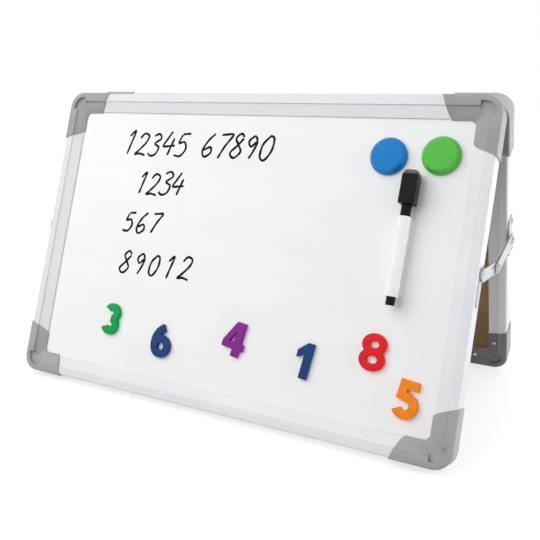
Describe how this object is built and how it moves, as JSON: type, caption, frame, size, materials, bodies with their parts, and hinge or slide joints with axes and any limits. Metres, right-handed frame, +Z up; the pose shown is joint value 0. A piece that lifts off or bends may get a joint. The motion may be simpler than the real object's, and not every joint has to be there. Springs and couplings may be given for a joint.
{
  "type": "magnetic desk whiteboard easel",
  "caption": "Folding desk easel of two framed magnetic writing boards hinged at the top, held open by side stays, with round holders, a marker and foam figures.",
  "frame": {"origin": "on the desk, midway between the two boards and midway across them, with the easel open", "axes": "+X to the right across the boards, +Y from the front board towards the rear board, +Z up; the front board's writing face looks towards -Y and up"},
  "size_m": [0.471, 0.2616, 0.2895],
  "materials": {
    "aluminium_rail": "satin bright extrusion",
    "black_plastic": "moulded black",
    "blue_plastic": "glossy",
    "ferrite": "dark grey ferrite",
    "foam_core": "expanded foam",
    "green_foam": "dyed foam",
    "green_plastic": "glossy",
    "grey_cap": "moulded mid grey with a fine texture",
    "grey_felt": "pressed felt",
    "hardboard": "brown hardboard",
    "navy_foam": "dyed foam",
    "nib_felt": "inked felt",
    "orange_foam": "dyed foam",
    "purple_foam": "dyed foam",
    "red_foam": "dyed foam",
    "screw_steel": "plated screws and rivets",
    "white_plastic": "glossy white",
    "white_sheet": "glossy white enamel",
    "zinc_steel": "bright zinc plate"
  },
  "bodies": {
    "front_board": {"front_top_rail": "aluminium_rail", "front_bottom_rail": "aluminium_rail", "front_left_rail": "aluminium_rail", "front_right_rail": "aluminium_rail", "front_top_left_cap": "grey_cap", "front_top_right_cap": "grey_cap", "front_bottom_left_cap": "grey_cap", "front_bottom_right_cap": "grey_cap", "front_writing_sheet": "white_sheet", "front_foam_core": "foam_core", "front_backing_board": "hardboard", "front_cap_screws": "screw_steel", "front_hinge_screws": "screw_steel", "front_left_hinge_leaf": "zinc_steel", "front_right_hinge_leaf": "zinc_steel", "hinge_pins": "screw_steel", "front_stay_plates": "zinc_steel", "front_stay_screws": "screw_steel", "front_stay_rivets": "screw_steel"},
    "rear_board": {"rear_top_rail": "aluminium_rail", "rear_bottom_rail": "aluminium_rail", "rear_left_rail": "aluminium_rail", "rear_right_rail": "aluminium_rail", "rear_top_left_cap": "grey_cap", "rear_top_right_cap": "grey_cap", "rear_bottom_left_cap": "grey_cap", "rear_bottom_right_cap": "grey_cap", "rear_writing_sheet": "white_sheet", "rear_foam_core": "foam_core", "rear_backing_board": "hardboard", "rear_cap_screws": "screw_steel", "rear_hinge_screws": "screw_steel", "rear_left_hinge_leaf": "zinc_steel", "rear_right_hinge_leaf": "zinc_steel", "rear_stay_brackets": "zinc_steel", "rear_stay_screws": "screw_steel"},
    "left_lower_link": {"left_lower_link": "zinc_steel"},
    "left_upper_link": {"left_upper_link": "zinc_steel", "left_stay_pins": "screw_steel"},
    "right_lower_link": {"right_lower_link": "zinc_steel"},
    "right_upper_link": {"right_upper_link": "zinc_steel", "right_stay_pins": "screw_steel"},
    "blue_holder": {"blue_holder_shell": "blue_plastic", "blue_holder_magnet": "ferrite"},
    "green_holder": {"green_holder_shell": "green_plastic", "green_holder_magnet": "ferrite"},
    "marker_cap": {"marker_cap": "black_plastic", "marker_eraser": "grey_felt", "marker_magnet": "ferrite"},
    "marker": {"marker_neck": "black_plastic", "marker_nib": "nib_felt", "marker_barrel": "white_plastic", "marker_tail": "black_plastic"},
    "green_figure": {"green_figure": "green_foam"},
    "navy_left_figure": {"navy_left_figure": "navy_foam"},
    "purple_figure": {"purple_figure": "purple_foam"},
    "navy_right_figure": {"navy_right_figure": "navy_foam"},
    "red_figure": {"red_figure": "red_foam"},
    "orange_figure": {"orange_figure": "orange_foam"}
  },
  "joints": [
    {"name": "fold", "type": "hinge", "parent": "front_board", "child": "rear_board", "pos_m": [0, 0, 0.28378], "axis": [1, 0, 0], "range_deg": [-42.4, 0]},
    {"name": "left_lower_link_pivot", "type": "hinge", "parent": "front_board", "child": "left_lower_link", "pos_m": [-0.2305, -0.06604, 0.15044], "axis": [1, 0, 0], "range_deg": [-113.71, 0.5]},
    {"name": "left_elbow", "type": "hinge", "parent": "left_lower_link", "child": "left_upper_link", "pos_m": [-0.2305, -0.01614, 0.14495], "axis": [1, 0, 0], "range_deg": [-0.5, 156.53]},
    {"name": "right_lower_link_pivot", "type": "hinge", "parent": "front_board", "child": "right_lower_link", "pos_m": [0.2305, -0.06604, 0.15044], "axis": [1, 0, 0], "range_deg": [-113.71, 0.5]},
    {"name": "right_elbow", "type": "hinge", "parent": "right_lower_link", "child": "right_upper_link", "pos_m": [0.2305, -0.01614, 0.14495], "axis": [1, 0, 0], "range_deg": [-0.5, 156.53]},
    {"name": "blue_holder_lift", "type": "slide", "parent": "front_board", "child": "blue_holder", "axis": [0, -0.9323, 0.3616], "range_m": [0, 0.03]},
    {"name": "green_holder_lift", "type": "slide", "parent": "front_board", "child": "green_holder", "axis": [0, -0.9323, 0.3616], "range_m": [0, 0.03]},
    {"name": "marker_cap_lift", "type": "slide", "parent": "front_board", "child": "marker_cap", "axis": [0, -0.9323, 0.3616], "range_m": [0, 0.03]},
    {"name": "green_figure_lift", "type": "slide", "parent": "front_board", "child": "green_figure", "axis": [0, -0.9323, 0.3616], "range_m": [0, 0.03]},
    {"name": "navy_left_figure_lift", "type": "slide", "parent": "front_board", "child": "navy_left_figure", "axis": [0, -0.9323, 0.3616], "range_m": [0, 0.03]},
    {"name": "purple_figure_lift", "type": "slide", "parent": "front_board", "child": "purple_figure", "axis": [0, -0.9323, 0.3616], "range_m": [0, 0.03]},
    {"name": "navy_right_figure_lift", "type": "slide", "parent": "front_board", "child": "navy_right_figure", "axis": [0, -0.9323, 0.3616], "range_m": [0, 0.03]},
    {"name": "red_figure_lift", "type": "slide", "parent": "front_board", "child": "red_figure", "axis": [0, -0.9323, 0.3616], "range_m": [0, 0.03]},
    {"name": "orange_figure_lift", "type": "slide", "parent": "front_board", "child": "orange_figure", "axis": [0, -0.9323, 0.3616], "range_m": [0, 0.03]},
    {"name": "marker_pull", "type": "slide", "parent": "marker_cap", "child": "marker", "axis": [-0.0192, -0.3616, -0.9322], "range_m": [0, 0.02]}
  ],
  "couplings": [
    {"joint": "left_lower_link_pivot", "follows": "fold", "ratio": 2.67},
    {"joint": "left_elbow", "follows": "fold", "ratio": -3.68},
    {"joint": "right_lower_link_pivot", "follows": "fold", "ratio": 2.67},
    {"joint": "right_elbow", "follows": "fold", "ratio": -3.68}
  ]
}
